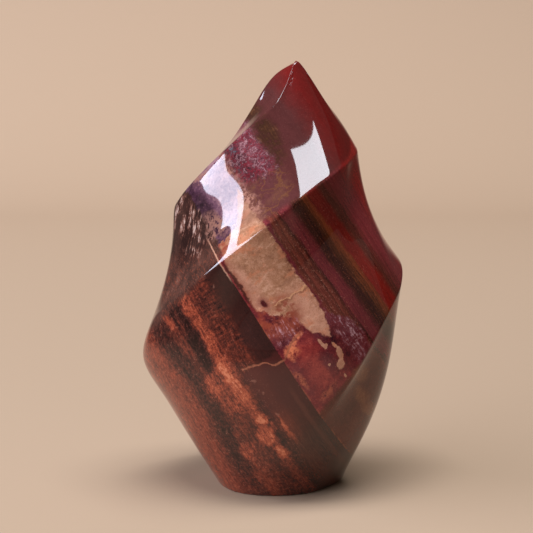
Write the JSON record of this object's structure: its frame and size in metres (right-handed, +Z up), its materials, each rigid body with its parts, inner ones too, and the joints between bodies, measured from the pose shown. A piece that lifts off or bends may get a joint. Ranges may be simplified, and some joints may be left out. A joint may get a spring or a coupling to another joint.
{
  "type": "petrified wood flame carving",
  "caption": "Polished stone flame that stands on a flat foot, with spiral ridges winding up between smooth faces to a leaning tip.",
  "frame": {"origin": "middle of the overall box, on the plane of the flat foot", "axes": "+Z up towards the tip, -Y out of the front face, +X to the right seen from the front"},
  "size_m": [0.0925, 0.0783, 0.15],
  "materials": {
    "petrified_wood": "high polish, banded maroon, crimson, brown and cream fossil wood grain"
  },
  "bodies": {
    "root": {"flame_carving": "petrified_wood"}
  },
  "joints": []
}
